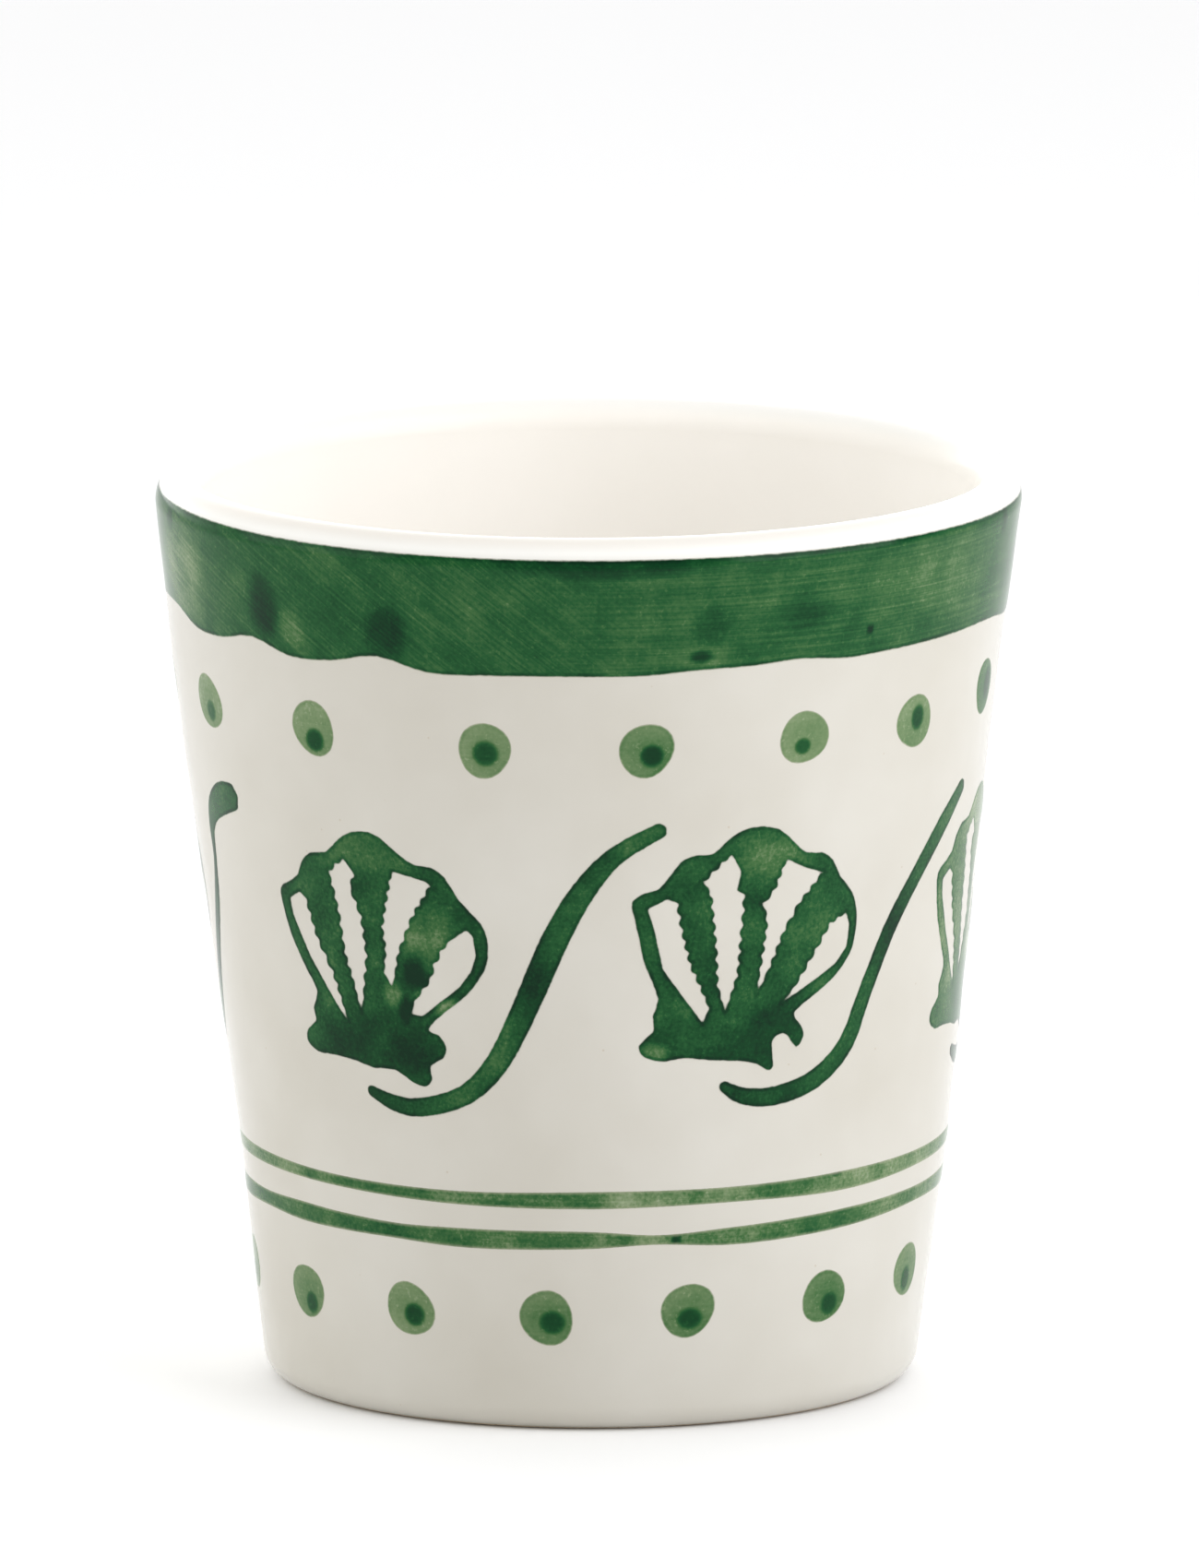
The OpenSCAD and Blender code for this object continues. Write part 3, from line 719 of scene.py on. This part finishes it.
def painted_piece(name, node_name, films, material):
    """One piece from the films of a CAD node's islands."""
    points, faces, edges, tones = zip(*films)
    starts = np.cumsum([0] + [len(p) for p in points[:-1]])
    faces = np.concatenate([f + start for f, start in zip(faces, starts)])
    piece = mesh_piece(name, np.concatenate(points), faces, material,
                       edge=np.concatenate(edges), tone=np.concatenate(tones))
    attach(piece, "root")
    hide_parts(node_name)


# Each dot's tone, and its pool: place from the dot's middle, half width, half height and how much
# darker it is. In order round the mug, from the back over -X, the front and +X.
upper_pools = [
    (0.3, -0.1, -0.9, 0.9, 1.1, 0.5), (0.22, 0.3, -0.7, 1.1, 1.0, 0.5),
    (0.35, 0.6, -0.3, 1.2, 1.2, 0.45), (0.25, -0.4, -0.9, 1.0, 1.0, 0.5),
    (0.2, 0.2, -1.0, 1.0, 1.1, 0.42), (0.24, 0.25, -1.25, 1.2, 1.2, 0.6),
    (0.24, 0.05, -0.25, 1.35, 1.3, 0.55), (0.33, 0.55, -0.5, 1.2, 1.15, 0.6),
    (0.22, -0.25, -1.0, 0.95, 0.85, 0.5), (0.26, 0.5, 0.35, 1.0, 1.3, 0.55),
    (0.42, 0.9, 0.2, 1.2, 1.8, 0.35), (0.26, 0.2, -0.9, 1.0, 1.1, 0.5),
    (0.22, -0.3, -0.8, 1.1, 1.0, 0.5), (0.3, 0.5, -0.6, 1.2, 1.1, 0.5),
    (0.22, 0.1, -1.1, 1.0, 1.0, 0.55),
]
lower_pools = [
    (0.25, 0.3, -0.8, 1.1, 1.0, 0.5), (0.3, -0.2, -0.6, 1.2, 1.2, 0.45),
    (0.22, 0.4, -1.0, 1.0, 1.1, 0.5), (0.28, 0.1, -0.8, 1.1, 1.0, 0.5), (0.26, 0.7, -1.1, 1.0, 1.1, 0.5),
    (0.22, 0.45, -0.65, 1.2, 1.2, 0.62), (0.33, 0.7, -0.5, 1.3, 1.2, 0.5),
    (0.34, 0.2, -0.8, 1.3, 1.1, 0.5), (0.36, 0.7, -0.9, 1.1, 1.2, 0.42),
    (0.26, 0.1, -1.0, 1.0, 1.3, 0.45), (0.3, 0.3, -0.6, 1.1, 1.1, 0.5),
    (0.22, -0.3, -0.9, 1.0, 1.0, 0.5), (0.28, 0.4, -0.7, 1.2, 1.1, 0.5),
    (0.24, 0.1, -1.0, 1.0, 1.1, 0.5),
]
POOL_STRENGTH = 0.85
POOL_CRISP = 7
HEART = (0.4, -0.5, 2.4, 2.4, 0.06)
dot_green = green_paint("Dot_green", 0.2, 0.1, 0.12, 0.04, 0.6)
for row_name, pools in (("upper_dots", upper_pools), ("lower_dots", lower_pools)):
    dots = islands(painted_outline(row_name, 0))
    films = [
        film(dot, 0, FINE_STEP, tone, [(*pool, POOL_STRENGTH * dark), HEART], 2, POOL_CRISP)
        for dot, (tone, *pool, dark) in zip(dots, pools)
    ]
    painted_piece(row_name.capitalize(), row_name, films, dot_green)


# ---- Scallop shells -------------------------------------------------------------------------
# Six scallop shells brushed freehand: a lobed fan whose ribs are painted and whose flutes are left
# bare, over a dark hinge. Two forms take turns, and each has thin olive places and dark blobs where
# the brush ran dry or was pressed.
STEP = 0.2
shell_green = green_paint("Shell_green", 0.6, 0.12, 0.08, 0.2, 0.1)
# Rows for marks(), in millimetres from the middle of the shell
shell_marks_a = [
    (-1.5, -10.2, 9.5, 4.2, 0.13), (-1.9, 11, 4, 3, -0.2), (6, 3.8, 3, 4, -0.14),
    (4.3, 1.8, 1.9, 1.8, -0.2), (1.7, -4, 1.2, 1.6, -0.38), (5.2, -3.9, 1, 1, -0.34),
    (4.6, -1.2, 1.3, 1.9, 0.34), (3.1, -5.4, 0.9, 1.6, 0.32), (8.1, -5, 1.7, 1.2, -0.5),
    (-6, -5.5, 1.8, 1.5, -0.1), (4, -9.5, 3.5, 2.5, 0.1),
]
shell_marks_b = [
    (-1, -9.5, 9, 3.6, 0.12), (0.5, 9.6, 3.6, 3.2, -0.18), (5.5, 3.5, 3, 3.5, -0.12),
    (-10.6, -10.6, 1.8, 1.2, -0.4), (-3, 2, 1.6, 4, -0.06), (8, -4.5, 2, 1.3, -0.1),
    (2.5, -8, 2.5, 2, 0.12), (-7, 7, 3, 2, 0.08), (-8.6, -12, 1.6, 1.2, 0.2),
    (-3.5, -12.2, 1.6, 0.6, -0.14),
]


def facing_of(node_name):
    """The direction in which the middle of a CAD node lies, in degrees from the front to +X."""
    low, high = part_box(node_name)
    return np.degrees(np.arctan2(low.x + high.x, -low.y - high.y))


def brushed_motif(kind, number, tone, tone_marks, material):
    """One freehand shell or stroke, as the film of a CAD node that is a single island."""
    node_name = f"{kind}_{number}"
    facing = facing_of(node_name)
    outline = painted_outline(node_name, facing)
    films = [film(outline, facing, STEP, tone, tone_marks, 1)]
    painted_piece(node_name.capitalize(), node_name, films, material)


# The third shell is painted lighter than the others: painted reflection, the pale sheen of the wall where
# it turns away to the side
for number, tone in enumerate((0.7, 0.7, 0.44, 0.7, 0.7, 0.7), 1):
    brushed_motif("shell", number, tone, shell_marks_a if number % 2 else shell_marks_b, shell_green)


# ---- Wave strokes ---------------------------------------------------------------------------
# A single long stroke of a pointed brush climbs beside each shell. It starts dark and thin under
# the shell, runs lighter up the slope, and darkens again where the hand slowed.
WAVE_TONE = 0.71
wave_green = green_paint("Wave_green", 0.6, 0.12, 0.08, 0.2, 0.1)
# Rows for marks(), in millimetres from the middle of the stroke
wave_marks_a = [
    (-14.5, -14, 5, 3, 0.14), (-6, -12.5, 4, 3, -0.12), (-1.5, -7, 2.6, 3.5, -0.18), (3, 1, 2.4, 5.5, 0.2),
    (9, 10, 3, 4, 0.02), (14, 14.5, 3, 2.5, -0.14),
]
wave_marks_b = [(-14, -14, 4, 3, 0.12), (3, 1, 4, 7, 0.06), (-2, -9, 3, 3, -0.06), (12, 13, 4, 5, -0.12)]
for number in range(1, 7):
    brushed_motif("wave", number, WAVE_TONE, wave_marks_a if number % 2 else wave_marks_b, wave_green)


# ---- Studio ---------------------------------------------------------------------------------
# A plain pale floor in a pale room, large soft lights at both sides, and a camera with a long lens
# a little above level.
FLOOR_WHITE = 0.97
FLOOR_HALF = 8.0
scene = bpy.context.scene
paper, tree, shader = new_material("Floor_paper", Roughness=0.9, Specular_IOR_Level=0.1)
shader.inputs["Base Color"].default_value = (FLOOR_WHITE, FLOOR_WHITE, FLOOR_WHITE, 1)
floor_mesh = bpy.data.meshes.new("Floor")
quarters = ((-1, -1), (1, -1), (1, 1), (-1, 1))
floor_mesh.from_pydata([(x * FLOOR_HALF, y * FLOOR_HALF, 0) for x, y in quarters], [], [(0, 1, 2, 3)])
floor_mesh.materials.append(paper)
floor = bpy.data.objects.new("Floor", floor_mesh)
scene.collection.objects.link(floor)

scene.view_settings.view_transform = "Standard"
scene.world = bpy.data.worlds.new("Pale_room")
scene.world.use_nodes = True
tree = scene.world.node_tree
toward = node(tree, "SeparateXYZ", {0: node(tree, "TexCoord").outputs["Generated"]}).outputs
# The room's red, green and blue light from each wall, by the axis and side that it stands on
light_from = {
    (0, 1): (0.25, 0.28, 0.36), (0, -1): (0.6, 0.62, 0.6), (1, 1): (2.95, 2.95, 2.95),
    (1, -1): (0.55, 0.53, 0.49), (2, 1): (0.66, 0.65, 0.65),
}
shining = (0, 0, 0)
for (axis, side), brightness in light_from.items():
    facing_it = times(tree, toward[axis], side)
    facing_it = node(tree, "Math", {0: facing_it, 1: 0.0}, operation="MAXIMUM").outputs[0]
    lit = {0: brightness, 1: times(tree, facing_it, facing_it), 2: shining}
    shining = node(tree, "VectorMath", lit, operation="MULTIPLY_ADD").outputs[0]
tree.links.new(shining, tree.nodes["Background"].inputs["Color"])


def soft_light(name, place, aim, size, power):
    """A large square light at a place, turned to face its aim, in metres and watts."""
    lamp = bpy.data.lights.new(name, "AREA")
    lamp.size = size
    lamp.energy = power
    holder = bpy.data.objects.new(name, lamp)
    holder.location = place
    holder.rotation_euler = (Vector(aim) - Vector(place)).to_track_quat("-Z", "Y").to_euler()
    scene.collection.objects.link(holder)


middle = (0, 0, height * MM / 2)
soft_light("Left_softbox", (-0.75, -0.15, 0.45), middle, 0.8, 2.8)
soft_light("Right_softbox", (0.7, -0.35, 0.45), middle, 0.8, 5.7)

ELEVATION = np.radians(10.34)
DISTANCE = 4.5
LENS = 993.3
ROLL = float(np.radians(0.129))
AIM_HEIGHT = 0.048
RAISED = 0.01379
TO_THE_RIGHT = 0.001
CLIP_END = 30
camera = bpy.data.objects.new("Camera", bpy.data.cameras.new("Camera"))
camera.data.lens = LENS
camera.data.clip_end = CLIP_END
up_axis = Vector((0, np.sin(ELEVATION), np.cos(ELEVATION)))
back_axis = Vector((0, -np.cos(ELEVATION), np.sin(ELEVATION)))
right_axis = Vector((1, 0, 0))
aim = Vector((0, 0, AIM_HEIGHT)) + RAISED * up_axis + TO_THE_RIGHT * right_axis
stand = Matrix.Translation(aim + DISTANCE * back_axis)
facing_aim = Matrix((right_axis, up_axis, back_axis)).transposed().to_4x4()
camera.matrix_world = stand @ facing_aim @ Matrix.Rotation(-ROLL, 4, "Z")
scene.collection.objects.link(camera)
scene.camera = camera
